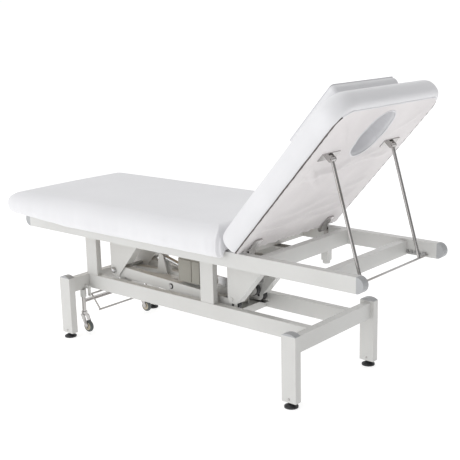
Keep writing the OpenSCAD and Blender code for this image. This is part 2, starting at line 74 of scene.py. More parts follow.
@dataclass(frozen=True)
class Finish:
    """One procedural finish on Object coordinates.

    Tone is a slow drift between two colours, grain is fine relief of the given depth, and glow is white
    light that the surface gives off.
    """

    name: str
    colour: tuple[float, float, float]
    shade: tuple[float, float, float]
    roughness: tuple[float, float]
    grain: Grain
    grain_scale: float
    depth: float
    metallic: float = 0.0
    coat: float = 0.0
    sheen: float = 0.0
    tone_scale: float = 6.0
    glow: float = 0.0

    def _grain_height(self, nodes: bpy.types.Nodes, links: bpy.types.NodeLinks,
                      where: bpy.types.NodeSocket) -> bpy.types.NodeSocket:
        """Adds the nodes that give the relief's height.

        Args:
            nodes: the material's nodes.
            links: the material's links.
            where: the socket with Object coordinates.

        Returns:
            The socket that carries the height.
        """
        if self.grain is Grain.PEBBLE:
            cells = nodes.new("ShaderNodeTexVoronoi")
            cells.feature = "SMOOTH_F1"
            cells.inputs["Scale"].default_value = self.grain_scale
            cells.inputs["Smoothness"].default_value = 0.35
            links.new(where, cells.inputs["Vector"])
            return cells.outputs["Distance"]
        if self.grain is Grain.SPECKLE:
            noise = nodes.new("ShaderNodeTexNoise")
            noise.inputs["Scale"].default_value = self.grain_scale
            noise.inputs["Detail"].default_value = 3.0
            links.new(where, noise.inputs["Vector"])
            return noise.outputs["Fac"]
        if self.grain is Grain.WEAVE:
            threads = []
            for direction in ("X", "Y"):
                wave = nodes.new("ShaderNodeTexWave")
                wave.bands_direction = direction
                wave.inputs["Scale"].default_value = self.grain_scale
                wave.inputs["Distortion"].default_value = 0.6
                links.new(where, wave.inputs["Vector"])
                threads.append(wave.outputs["Fac"])
            cross = nodes.new("ShaderNodeMath")
            cross.operation = "MULTIPLY"
            links.new(threads[0], cross.inputs[0])
            links.new(threads[1], cross.inputs[1])
            return cross.outputs["Value"]
        stretch = nodes.new("ShaderNodeMapping")
        wood = self.grain is Grain.WOOD
        stretch.inputs["Scale"].default_value = (1.0, 14.0, 14.0) if wood else (30.0, 1.0, 30.0)
        links.new(where, stretch.inputs["Vector"])
        streaks = nodes.new("ShaderNodeTexNoise")
        streaks.inputs["Scale"].default_value = self.grain_scale
        streaks.inputs["Detail"].default_value = 5.0
        links.new(stretch.outputs["Vector"], streaks.inputs["Vector"])
        return streaks.outputs["Fac"]

    def build(self) -> bpy.types.Material:
        """Makes the material.

        Returns:
            The new material.
        """
        made = bpy.data.materials.new(self.name)
        made.use_nodes = True
        nodes, links = made.node_tree.nodes, made.node_tree.links
        shader = nodes["Principled BSDF"]
        shader.inputs["Metallic"].default_value = self.metallic
        shader.inputs["Coat Weight"].default_value = self.coat
        shader.inputs["Sheen Weight"].default_value = self.sheen
        shader.inputs["Emission Color"].default_value = (1.0, 1.0, 1.0, 1.0)
        shader.inputs["Emission Strength"].default_value = self.glow
        where = nodes.new("ShaderNodeTexCoord").outputs["Object"]

        tone = nodes.new("ShaderNodeTexNoise")
        tone.inputs["Scale"].default_value = self.tone_scale
        tone.inputs["Detail"].default_value = 4.0
        links.new(where, tone.inputs["Vector"])
        ramp = nodes.new("ShaderNodeValToRGB")
        ramp.color_ramp.elements[0].position = 0.3
        ramp.color_ramp.elements[0].color = (*self.shade, 1.0)
        ramp.color_ramp.elements[1].position = 0.7
        ramp.color_ramp.elements[1].color = (*self.colour, 1.0)
        links.new(tone.outputs["Fac"], ramp.inputs["Fac"])
        links.new(ramp.outputs["Color"], shader.inputs["Base Color"])

        gloss = nodes.new("ShaderNodeMapRange")
        gloss.inputs["To Min"].default_value = self.roughness[0]
        gloss.inputs["To Max"].default_value = self.roughness[1]
        links.new(tone.outputs["Fac"], gloss.inputs["Value"])
        links.new(gloss.outputs["Result"], shader.inputs["Roughness"])

        bump = nodes.new("ShaderNodeBump")
        bump.inputs["Distance"].default_value = self.depth
        bump.inputs["Strength"].default_value = 0.6
        links.new(self._grain_height(nodes, links, where), bump.inputs["Height"])
        links.new(bump.outputs["Normal"], shader.inputs["Normal"])
        return made


FINISHES = {
    "powder_coat": Finish("powder_coat", (0.665, 0.665, 0.65), (0.625, 0.622, 0.605), (0.34, 0.46),
                          Grain.SPECKLE, 900.0, 0.00012, coat=0.15),
    "cap_plastic": Finish("cap_plastic", (0.44, 0.45, 0.46), (0.40, 0.405, 0.415), (0.45, 0.6),
                          Grain.SPECKLE, 1400.0, 0.0001),
    "black_plastic": Finish("black_plastic", (0.025, 0.025, 0.028), (0.04, 0.04, 0.042), (0.4, 0.6),
                            Grain.SPECKLE, 1500.0, 0.0001),
    "pad_rubber": Finish("pad_rubber", (0.5, 0.5, 0.5), (0.42, 0.42, 0.42), (0.7, 0.85),
                         Grain.SPECKLE, 800.0, 0.0002),
    "chrome_steel": Finish("chrome_steel", (0.56, 0.55, 0.55), (0.42, 0.40, 0.385), (0.08, 0.2),
                           Grain.SPECKLE, 300.0, 0.00003, metallic=1.0),
    "bright_steel": Finish("bright_steel", (0.62, 0.62, 0.63), (0.5, 0.5, 0.5), (0.28, 0.42),
                           Grain.BRUSHED, 60.0, 0.00008, metallic=1.0),
    "dark_steel": Finish("dark_steel", (0.40, 0.40, 0.40), (0.34, 0.335, 0.33), (0.4, 0.6),
                         Grain.SPECKLE, 900.0, 0.0001, metallic=0.4),
    "motor_plastic": Finish("motor_plastic", (0.32, 0.31, 0.275), (0.29, 0.28, 0.245), (0.5, 0.62),
                            Grain.SPECKLE, 1200.0, 0.00015),
    "white_leather": Finish("white_leather", (0.80, 0.80, 0.82), (0.765, 0.765, 0.785), (0.42, 0.52),
                            Grain.PEBBLE, 620.0, 0.00022, sheen=0.08, tone_scale=4.0),
    "plywood": Finish("plywood", (0.62, 0.47, 0.30), (0.48, 0.34, 0.20), (0.6, 0.75),
                      Grain.WOOD, 9.0, 0.0003, tone_scale=3.0),
    "lining_cloth": Finish("lining_cloth", (0.84, 0.81, 0.812), (0.74, 0.71, 0.715), (0.75, 0.9),
                           Grain.WEAVE, 260.0, 0.0002, sheen=0.15, tone_scale=5.0),
    "tyre_rubber": Finish("tyre_rubber", (0.10, 0.115, 0.115), (0.14, 0.15, 0.15), (0.65, 0.8),
                          Grain.SPECKLE, 900.0, 0.0002),
}
# Painted shade: the cords along the lining's long edges are coloured dark to stand in for the shadow in the
# groove between the lining and the cover.
PAINTED_GROOVE_SHADE = Finish("painted_groove_shade", (0.10, 0.085, 0.08), (0.14, 0.12, 0.115), (0.6, 0.75),
                   Grain.SPECKLE, 1000.0, 0.0001)
TAN_HUB = Finish("tan_hub", (0.60, 0.54, 0.42), (0.52, 0.46, 0.35), (0.4, 0.55),
                 Grain.SPECKLE, 900.0, 0.0001)
PALE_FLOOR = Finish("pale_floor", (0.55, 0.55, 0.55), (0.545, 0.545, 0.545), (0.8, 0.9),
                    Grain.SPECKLE, 30.0, 0.0001, tone_scale=0.5, glow=0.68)


# ---- meshes ----


def grid_object(name: str, points: Array, wrap_rows: bool = False, wrap_cols: bool = True,
                close_ends: bool = False) -> bpy.types.Object:
    """Makes a mesh from a grid of points, one quad between each four neighbours.

    Args:
        name: the object's name.
        points: rows by columns by 3.
        wrap_rows: joins the last row to the first.
        wrap_cols: joins the last column to the first.
        close_ends: fans the first and last row to their middles.

    Returns:
        The new object, at the origin, with its faces outwards if it is closed.
    """
    rows, cols = points.shape[:2]
    index = np.arange(rows * cols).reshape(rows, cols)
    if wrap_rows:
        index = np.vstack([index, index[:1]])
    if wrap_cols:
        index = np.hstack([index, index[:, :1]])
    quads = np.stack([index[:-1, :-1], index[:-1, 1:], index[1:, 1:], index[1:, :-1]], -1).reshape(-1, 4)
    verts = points.reshape(-1, 3)
    faces = quads.tolist()
    if close_ends:
        verts = np.vstack([verts, points[0].mean(0), points[-1].mean(0)])
        first, last = index[0], index[-1]
        fan = np.stack([first[1:], first[:-1], np.full(len(first) - 1, rows * cols)], -1)
        end = np.stack([last[:-1], last[1:], np.full(len(last) - 1, rows * cols + 1)], -1)
        faces += fan.tolist() + end.tolist()
    if close_ends or (wrap_rows and wrap_cols):
        # The sign of the quads' summed volume tells which way the surface faces.
        a, b, c, d = (verts[quads[:, k]] for k in range(4))
        volume = (a * (np.cross(b, c) + np.cross(c, d))).sum()
        if volume < 0:
            faces = [face[::-1] for face in faces]
    mesh = bpy.data.meshes.new(name)
    mesh.from_pydata(verts.tolist(), [], faces)
    mesh.polygons.foreach_set("use_smooth", np.ones(len(mesh.polygons), bool))
    mesh.update()
    made = bpy.data.objects.new(name, mesh)
    bpy.context.scene.collection.objects.link(made)
    return made


def rounded_ring(lo: float, hi: float, half: float, r_lo: float, r_hi: float,
                 inset: tuple[float, float, float] = (0.0, 0.0, 0.0), arc: int = 12,
                 step: float = 0.012) -> Array:
    """Outline of a rectangle with rounded corners, moved inwards.

    The radii shrink with the inset, so that every inset ring has the same number of points.

    Args:
        lo: low end along the length.
        hi: high end along the length.
        half: half the width.
        r_lo: corner radius at the low end.
        r_hi: corner radius at the high end.
        inset: how far it moves in at the low end, at the high end and at the sides.
        arc: points on each corner.
        step: spacing of the points on the straight sides.

    Returns:
        Points in order round the outline, n by 2.
    """
    n_long = int((hi - lo) / step)
    n_short = int(2 * half / step)
    x0, x1, y1 = lo + inset[0], hi - inset[1], half - inset[2]
    a = max(r_lo - min(inset[0], inset[2]), 0.003)
    b = max(r_hi - min(inset[1], inset[2]), 0.003)
    turn = np.linspace(0, math.pi / 2, arc)
    corners = [(x1 - b, -y1 + b, b, -math.pi / 2), (x1 - b, y1 - b, b, 0.0),
               (x0 + a, y1 - a, a, math.pi / 2), (x0 + a, -y1 + a, a, math.pi)]
    arcs = [np.stack([cx + r * np.cos(turn + start), cy + r * np.sin(turn + start)], -1)
            for cx, cy, r, start in corners]
    counts = [n_short, n_long, n_short, n_long]
    parts = []
    for k, count in enumerate(counts):
        start, end = arcs[k][-1], arcs[(k + 1) % 4][0]
        share = np.linspace(0, 1, count + 1, endpoint=False)[1:, None]
        parts += [arcs[k], start + (end - start) * share]
    return np.vstack(parts)


def tube_object(name: str, path: Array, radius: float, closed: bool, sides: int = 10) -> bpy.types.Object:
    """A circle carried along a path, square to it at each point.

    Args:
        name: the object's name.
        path: points along the middle, n by 3.
        radius: the circle's radius.
        closed: joins the last point to the first.
        sides: points on the circle.

    Returns:
        The new object.
    """
    if closed:
        along = np.roll(path, -1, 0) - np.roll(path, 1, 0)
    else:
        along = np.gradient(path, axis=0)
    along /= np.linalg.norm(along, axis=1, keepdims=True)
    spread = np.linalg.svd(path - path.mean(0))[2][2]
    side = np.cross(along, spread)
    side /= np.maximum(np.linalg.norm(side, axis=1, keepdims=True), 1e-9)
    up = np.cross(side, along)
    turn = np.linspace(0, 2 * math.pi, sides, endpoint=False)
    ring = np.cos(turn)[None, :, None] * side[:, None] + np.sin(turn)[None, :, None] * up[:, None]
    return grid_object(name, path[:, None] + radius * ring, wrap_rows=closed, close_ends=not closed)


def turned_object(name: str, profile: Array, centre: tuple[float, float, float], wrap: bool,
                  count: int = 48) -> bpy.types.Object:
    """A profile of radius and distance along Y, turned about an axle along Y.

    Args:
        name: the object's name.
        profile: radius and distance pairs, n by 2.
        centre: a point on the axle.
        wrap: the profile is a closed loop; otherwise it is capped at both ends.
        count: steps round the axle.

    Returns:
        The new object.
    """
    turn = np.linspace(0, 2 * math.pi, count, endpoint=False)
    radius, along = profile[:, 0, None], profile[:, 1, None]
    points = np.stack([radius * np.cos(turn), along + 0 * turn, radius * np.sin(turn)], -1)
    return grid_object(name, points + np.array(centre), wrap_rows=wrap, close_ends=not wrap)


def dress(piece: bpy.types.Object, material: bpy.types.Material, body: str) -> None:
    """Gives a piece its material and body.

    Args:
        piece: the new piece, in place.
        material: its finish.
        body: the body that it moves with.
    """
    piece.data.materials.append(material)
    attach(piece, body)
    log.info("%s rides on %s", piece.name, body)


# ---- soft goods ----


@dataclass
class BackPlane:
    """The raised backrest's own plane: s runs up it and off stands out of its front.

    The hinge is the axis that the backrest turns about.
    """

    angle: float = math.radians(48.7)
    foot_x: float = 0.3855
    foot_z: float = 0.534
    hinge_x: float = 0.3782
    hinge_z: float = 0.512

    def place(self, s: Array, y: Array, off: Array) -> Array:
        """Turns the plane's own coordinates into the frame's.

        Args:
            s: distance up the plane.
            y: distance across it.
            off: distance out of its front.

        Returns:
            Points in the frame's axes, with a last dimension of 3.
        """
        c, n = math.cos(self.angle), math.sin(self.angle)
        return np.stack([self.foot_x + s * c - off * n, y, self.foot_z + s * n + off * c], -1)

    def flat_foot(self) -> tuple[float, float]:
        """Finds the plane's foot once the backrest has turned down about its hinge to lie flat.

        Returns:
            The foot's X and Z.
        """
        c, n = math.cos(self.angle), math.sin(self.angle)
        dx, dz = self.foot_x - self.hinge_x, self.foot_z - self.hinge_z
        return self.hinge_x + dx * c + dz * n, self.hinge_z - dx * n + dz * c


@dataclass
class SeatCushion:
    """The long seat cushion: an edge of two quarter ellipses round a crowned top."""

    lo: float = -0.898
    hi: float = 0.3195
    half: float = 0.3185
    bottom: float = 0.5195
    top: float = 0.6195
    widest: float = 0.036
    crown: float = 0.009
    edge_foot: float = 0.125
    edge_head: float = 0.046
    edge_side: float = 0.062
    r_foot: float = 0.045
    r_head: float = 0.02
    hang: float = 0.020

    def build(self, leather: bpy.types.Material) -> bpy.types.Object:
        """Builds the cushion.

        Each row is the plan outline moved in by one minus the cosine of the edge angle, at a height that
        follows its sine; inside the edge the rows shrink to the middle. The head-end corners get folds.

        Args:
            leather: the cover's material.

        Returns:
            The cushion.
        """
        rows = []
        low_h = self.widest
        high_h = self.top - self.bottom - self.widest

        def ring(cos: float, sin: float, foot: float, head: float, side: float, height: float) -> Array:
            """One ring of the edge, for a point on its quarter ellipse."""
            move = 1 - cos
            flat = rounded_ring(self.lo, self.hi, self.half, self.r_foot, self.r_head,
                                (foot * move, head * move, side * move))
            return np.column_stack([flat, np.full(len(flat), self.bottom + self.widest + sin * height)])

        for angle in np.linspace(-math.pi / 2, 0, 9):
            rows.append(ring(math.cos(angle) ** 0.9, -abs(math.sin(angle)) ** 0.9,
                             0.03, 0.012, 0.022, low_h))
        for angle in np.linspace(0, math.pi / 2, 20)[1:]:
            rows.append(ring(math.cos(angle) ** 0.95, math.sin(angle) ** 0.85,
                             self.edge_foot, self.edge_head, self.edge_side, high_h))
        edge = np.array(rows)
        middle = np.array([(self.lo + self.hi) / 2, 0.0])
        inner = []
        for share in np.linspace(1, 0.03, 26)[1:]:
            flat = middle + (edge[-1][:, :2] - middle) * share
            inner.append(np.column_stack([flat, edge[-1][:, 2]]))
        under = []
        for share in np.linspace(0.05, 1, 8)[:-1]:
            flat = middle + (edge[0][:, :2] - middle) * share
            under.append(np.column_stack([flat, edge[0][:, 2]]))
        points = np.array(under + rows + inner)
        x, y, z = points[..., 0], points[..., 1], points[..., 2]

        # Crown: the top falls away from the middle with the square of the distance to each edge.
        u = (x - middle[0]) / ((self.hi - self.lo) / 2)
        v = y / self.half
        upper = np.clip((z - self.bottom - self.widest) / high_h, 0, 1)
        z -= self.crown * upper * (1 - (1 - u ** 4) * (1 - v ** 2))
        # The cover's lower edge hangs past the rails' outer faces, less and less towards the foot end.
        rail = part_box("upper_rail_near")[0]
        past_side = np.clip((np.abs(y) + rail.y - 0.002) / 0.014, 0, 1)
        z -= self.hang * past_side * np.clip((x - self.lo) / 0.4, 0, 1) * (1 - upper)
        # The long sides pull in a little between the corners, and the cover ripples where it is stapled.
        y *= 1 - 0.006 * (1 - u ** 2)
        side = 1 - upper
        ripple = 0.0011 * np.sin(x * 47 + 0.6) + 0.0007 * np.sin(x * 121 + 2.1)
        y += np.sign(y) * ripple * side * (np.abs(v) > 0.93)
        # Upright folds where the cover is gathered at the head-end corners.
        for at, depth, width in ((0.007, 0.010, 0.0045), (0.022, 0.008, 0.0045), (0.040, 0.005, 0.005)):
            near = np.exp(-((x - (self.hi - at)) / width) ** 2) * (np.abs(v) > 0.9)
            y -= np.sign(y) * depth * near * np.clip(1.3 - 1.4 * upper, 0, 1)
        made = grid_object("seat_pad", points, close_ends=True)
        dress(made, leather, "upper_frame")
        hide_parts("seat_cushion")
        return made


@dataclass
class BackCushion:
    """The backrest cushion with its breathing hole, and the trims along its back edge."""

    plane: BackPlane = field(default_factory=BackPlane)
    lo: float = -0.013
    hi: float = 0.688
    half: float = 0.317
    thick: float = 0.0972
    widest: float = 0.034
    crown: float = 0.009
    r_hinge: float = 0.016
    r_head: float = 0.085
    hole_s: float = 0.522
    hole_half: float = 0.034
    hole_r: float = 0.067
    lining_lo: float = -0.010
    lining_hi: float = 0.655
    lining_half: float = 0.299

    def hole_ring(self, outer: Array, extra: float) -> Array:
        """Points on the stadium round the breathing hole, each in line with an outer point.

        Args:
            outer: outline points, n by 2, whose directions from the hole's middle are matched.
            extra: how much wider than the hole the stadium is.

        Returns:
            Points on the stadium, n by 2.
        """
        r = self.hole_r + extra
        turn = np.linspace(-math.pi / 2, math.pi / 2, 60)
        right = np.stack([self.hole_half + r * np.cos(turn), r * np.sin(turn)], -1)
        shape = np.vstack([right, -right])
        bearing = np.arctan2(shape[:, 1], shape[:, 0])
        order = np.argsort(bearing)
        bearing, reach = bearing[order], np.linalg.norm(shape, axis=1)[order]
        away = outer - np.array([self.hole_s, 0.0])
        angle = np.arctan2(away[:, 1], away[:, 0])
        length = np.interp(angle, bearing, reach, period=2 * math.pi)
        return np.array([self.hole_s, 0.0]) + np.stack([length * np.cos(angle), length * np.sin(angle)], -1)

    def build_pad(self, leather: bpy.types.Material) -> bpy.types.Object:
        """Builds the cushion as one closed band.

        It runs along the back, round the edge, over the front and down the hole.

        Args:
            leather: the cover's material.

        Returns:
            The cushion.
        """
        base = rounded_ring(self.lo, self.hi, self.half, self.r_hinge, self.r_head)
        rows: list[Array] = []

        def edge(move: tuple[float, float, float], off: float) -> None:
            """Adds one ring of the outer edge."""
            flat = rounded_ring(self.lo, self.hi, self.half, self.r_hinge, self.r_head, move)
            rows.append(np.column_stack([flat, np.full(len(flat), off)]))

        low, high = self.widest, self.thick - self.widest
        for angle in np.linspace(-math.pi / 2, 0, 9):
            move = 1 - math.cos(angle) ** 0.9
            edge((0.010 * move, 0.026 * move, 0.017 * move), low + low * -abs(math.sin(angle)) ** 0.9)
        for angle in np.linspace(0, math.pi / 2, 18)[1:]:
            move = 1 - math.cos(angle) ** 0.95
            edge((0.056 * move, 0.088 * move, 0.050 * move), low + high * math.sin(angle) ** 0.85)
        back_rim = rows[0][:, :2].copy()
        front_rim = rows[-1][:, :2].copy()
        lip = self.hole_ring(base, 0.012)
        for share in np.linspace(0, 1, 26)[1:]:
            flat = front_rim + (lip - front_rim) * share
            rows.append(np.column_stack([flat, np.full(len(flat), self.thick)]))
        for angle in np.linspace(0, math.pi / 2, 6)[1:]:
            flat = self.hole_ring(base, 0.012 * (1 - math.sin(angle)))
            off = self.thick - 0.012 * (1 - math.cos(angle))
            rows.append(np.column_stack([flat, np.full(len(flat), off)]))
        wall = self.hole_ring(base, 0.0)
        for off in np.linspace(self.thick - 0.02, 0.004, 8):
            rows.append(np.column_stack([wall, np.full(len(wall), off)]))
        back_lip = self.hole_ring(base, 0.004)
        for share in np.linspace(0, 1, 12)[:-1]:
            flat = back_lip + (back_rim - back_lip) * share
            rows.append(np.column_stack([flat, np.full(len(flat), 0.0)]))
        points = np.array(rows)
        s, y, off = points[..., 0], points[..., 1], points[..., 2]
        u = (s - (self.lo + self.hi) / 2) / ((self.hi - self.lo) / 2)
        v = y / self.half
        upper = np.clip((off - self.widest) / high, 0, 1)
        off -= self.crown * upper * (1 - (1 - u ** 4) * (1 - v ** 4))
        y *= 1 - 0.007 * (1 - u ** 2)
        # Fullness at the head end, and creases that run in from its two corners.
        reach = np.hypot(s - self.hi + 0.06, np.abs(y) - self.half + 0.06)
        off += 0.0016 * np.sin(reach * 240) * np.exp(-(reach / 0.05) ** 2) * (1 - upper)
        y += np.sign(y) * 0.0009 * np.sin(s * 53 + 1.0) * (1 - upper) * (np.abs(v) > 0.93)
        made = grid_object("back_pad", self.plane.place(s, y, off), wrap_rows=True)
        dress(made, leather, "backrest")
        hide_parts("backrest_cushion")
        return made

    def room(self, s: Array, y: Array) -> Array:
        """How far a fold may stand out and still clear the frame when the backrest lies flat.

        Args:
            s: distance up the backrest.
            y: distance across it.

        Returns:
            The most that the lining may stand out at each point.
        """
        foot_x, foot_z = self.plane.flat_foot()
        most = np.full_like(s, 0.02)
        for node in ("upper_cross_back", "upper_cross_tail", "upper_rail_near", "upper_rail_far"):
            lo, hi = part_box(node)
            past_s = np.maximum(np.maximum(lo.x - foot_x - s, s - hi.x + foot_x), 0)
            past_y = np.maximum(np.maximum(lo.y - y, y - hi.y), 0)
            gap = max(foot_z - 0.0019 - hi.z, 0.0)
            most = np.minimum(most, gap + 0.4 * np.maximum(np.hypot(past_s, past_y) - 0.008, 0))
        return most

    def folds(self, s: Array, y: Array) -> Array:
        """How far the lining stands out at each point: soft ridges along lines, flat near the fittings.

        Args:
            s: distance up the backrest.
            y: distance across it.

        Returns:
            The height of the folds.
        """
        lines = (((0.03, -0.27), (0.13, 0.27), 0.009, 0.013), ((0.075, -0.27), (0.19, 0.25), 0.008, 0.014),
                 ((0.13, -0.24), (0.27, 0.27), 0.006, 0.016), ((0.33, -0.27), (0.45, 0.22), 0.008, 0.014),
                 ((0.36, -0.22), (0.40, 0.27), 0.007, 0.012), ((0.42, -0.28), (0.28, -0.08), 0.006, 0.012),
                 ((0.60, -0.26), (0.46, -0.10), 0.004, 0.013), ((0.61, 0.26), (0.48, 0.11), 0.004, 0.013))
        height = np.zeros_like(s)
        for (s0, y0), (s1, y1), tall, wide in lines:
            d = np.array([s1 - s0, y1 - y0])
            length = float(np.hypot(*d))
            d /= length
            t = (s - s0) * d[0] + (y - y0) * d[1]
            n = (s - s0) * -d[1] + (y - y0) * d[0] + 0.006 * np.sin(t * 26)
            ends = np.clip(t / 0.07, 0, 1) * np.clip((length - t) / 0.07, 0, 1)
            height += tall * np.exp(-(n / wide) ** 2) * ends
        # Small gathers along the hem at the hinge end and beside the two long cords.
        hem = np.exp(-(s - self.lining_lo) / 0.03)
        height += 0.0022 * (1 + np.sin(y * 190 + 3 * np.sin(y * 31))) * hem
        beside = np.exp(-(self.lining_half - np.abs(y)) / 0.018)
        height += 0.0007 * (1 + np.sin(s * 170 + 2 * np.sin(s * 23))) * beside
        plates = np.hypot(s - 0.452, (np.abs(y) - 0.185) * 0.6)
        hinges = np.hypot(s - 0.015, np.abs(y) - 0.217)
        rim = np.hypot(np.maximum(np.abs(s - self.hole_s) - self.hole_half, 0), y) - self.hole_r
        height *= np.clip(plates / 0.05 - 0.5, 0, 1) * np.clip(hinges / 0.04 - 0.8, 0, 1)
        height *= np.clip(rim / 0.03, 0, 1)
        return np.minimum(height, self.room(s, y))

    def build_lining(self, cloth: bpy.types.Material) -> bpy.types.Object:
        """Builds the thin cloth over the back, cut out round the hole, with its folds.

        Args:
            cloth: the lining's material.

        Returns:
            The lining.
        """
        outer = rounded_ring(self.lining_lo, self.lining_hi, self.lining_half, 0.012, 0.058, step=0.006)
        inner = self.hole_ring(outer, 0.003)
        share = np.linspace(0, 1, 90)[:, None, None]
        flat = outer[None] + (inner - outer)[None] * share
        s, y = flat[..., 0], flat[..., 1]
        points = self.plane.place(s, y, -0.0014 - self.folds(s, y))
        made = grid_object("back_lining", points)
        dress(made, cloth, "backrest")
        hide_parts("backrest_lining")
        return made

    def build_trims(self, leather: bpy.types.Material, groove_shade: bpy.types.Material) -> None:
        """Builds the cords along both sides, coloured dark as painted shade of the groove there, the seam
        across the head end and the hole's rim.

        Args:
            leather: the cover's material.
            groove_shade: the dark material, painted shade of the groove along the lining's long edges.
        """
        loop = rounded_ring(self.lining_lo, self.lining_hi, self.lining_half + 0.002, 0.012, 0.060)
        off = np.full(len(loop), 0.0004)
        path = self.plane.place(loop[:, 0], loop[:, 1], off)
        limit = self.lining_hi - 0.016
        # The two long cords are coloured dark as painted shade of the groove along the lining's edges.
        for name, keep in (("back_shade_cord_near", loop[:, 1] < -0.25), ("back_shade_cord_far", loop[:, 1] > 0.25)):
            chosen = keep & (loop[:, 0] < limit)
            ordered = path[chosen][np.argsort(loop[chosen, 0])]
            dress(tube_object(name, ordered, 0.0028, False), groove_shade, "backrest")
        head = loop[:, 0] >= limit - 0.006
        ordered = path[head][np.argsort(loop[head, 1], kind="stable")]
        dress(tube_object("back_seam_head", ordered, 0.0030, False), leather, "backrest")
        rim = self.hole_ring(rounded_ring(self.lo, self.hi, self.half, self.r_hinge, self.r_head), 0.004)
        rim_path = self.plane.place(rim[:, 0], rim[:, 1], np.full(len(rim), -0.0012))
        dress(tube_object("hole_rim", rim_path, 0.0026, True), leather, "backrest")


@dataclass
class Pillow:
    """The flat head pillow on the backrest, a box pillow with seams along its edges."""

    plane: BackPlane = field(default_factory=BackPlane)
    lo: float = 0.371
    hi: float = 0.631
    half: float = 0.192
    under: float = 0.0988
    thick: float = 0.0505

    def ring(self, move: float, off: float) -> Array:
        """One outline of the pillow in its plane, moved in, at a distance from the backrest."""
        flat = rounded_ring(self.lo, self.hi, self.half, 0.016, 0.016, (move, move, move), step=0.008)
        return np.column_stack([flat, np.full(len(flat), off)])

    def build(self, leather: bpy.types.Material) -> bpy.types.Object:
        """Builds the pillow: quarter-ellipse edges, a crowned front and sides that bulge between the seams.

        Args:
            leather: the cover's material.

        Returns:
            The pillow.
        """
        rows = []
        soft = 0.011
        for angle in np.linspace(-math.pi / 2, 0, 7):
            rows.append(self.ring(0.003 + soft * (1 - math.cos(angle)),
                                  self.under + soft * (1 + math.sin(angle))))
        for share in np.linspace(0, 1, 7)[1:-1]:
            off = self.under + soft + share * (self.thick - 2 * soft)
            rows.append(self.ring(0.003 - 0.003 * math.sin(math.pi * share), off))
        for angle in np.linspace(0, math.pi / 2, 7):
            rows.append(self.ring(0.003 + soft * (1 - math.cos(angle)),
                                  self.under + self.thick - soft * (1 - math.sin(angle))))
        middle = np.array([(self.lo + self.hi) / 2, 0.0])
        front = [np.column_stack([middle + (rows[-1][:, :2] - middle) * k, rows[-1][:, 2]])
                 for k in np.linspace(1, 0.04, 18)[1:]]
        back = [np.column_stack([middle + (rows[0][:, :2] - middle) * k, rows[0][:, 2]])
                for k in np.linspace(0.06, 1, 6)[:-1]]
        points = np.array(back + rows + front)
        s, y, off = points[..., 0], points[..., 1], points[..., 2]
        u = (s - middle[0]) / ((self.hi - self.lo) / 2)
        v = y / self.half
        upper = np.clip((off - self.under) / self.thick, 0, 1) ** 2
        off -= 0.006 * upper * (1 - (1 - u ** 2) * (1 - v ** 2))
        made = grid_object("head_pillow", self.plane.place(s, y, off), close_ends=True)
        dress(made, leather, "pillow_body")
        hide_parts("pillow")
        return made

    def build_seams(self, leather: bpy.types.Material) -> None:
        """Builds the thin cord round the front and round the back edge.

        Args:
            leather: the cover's material.
        """
        for name, share in (("pillow_seam_back", 0.12), ("pillow_seam_front", 0.80)):
            loop = self.ring(0.0035, self.under + share * self.thick)
            path = self.plane.place(loop[:, 0], loop[:, 1], loop[:, 2])
            dress(tube_object(name, path, 0.0013, True, sides=8), leather, "pillow_body")


# ---- hard trims ----


@dataclass
class CasterWheel:
    """One caster's tyre with rounded shoulders, and its hub with a recessed face."""

    side: str
    tyre_w: float = 0.018
    hub_r: float = 0.0165

    def build(self, tyre: bpy.types.Material, hub: bpy.types.Material) -> None:
        """Builds the tyre and hub on the wheel's own axle.

        Args:
            tyre: the tyre's material.
            hub: the hub's material.
        """
        node = f"caster_wheel_{self.side}"
        lo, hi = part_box(node)
        centre = tuple((lo + hi) / 2)
        outer, half = (hi.z - lo.z) / 2, self.tyre_w / 2
        angle = np.linspace(-math.pi / 2, math.pi / 2, 13)
        crown = np.stack([outer - 0.005 + 0.005 * np.cos(angle), (half - 0.001) * np.sin(angle)], -1)
        inner = np.array([[self.hub_r, half - 0.002], [self.hub_r, -half + 0.002]])
        piece = turned_object(f"caster_tyre_{self.side}", np.vstack([crown, inner]), centre, True, 64)
        dress(piece, tyre, f"wheel_{self.side}")
        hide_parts(node)
        half_face = np.array([[0.0034, -0.0088], [0.006, -0.0088], [0.0075, -0.006], [0.0125, -0.006],
                              [0.014, -0.0085], [0.0164, -0.0085]])
        face = np.vstack([half_face, half_face[::-1] * np.array([1, -1])])
        dress(turned_object(f"caster_hub_{self.side}", face, centre, True), hub, f"wheel_{self.side}")


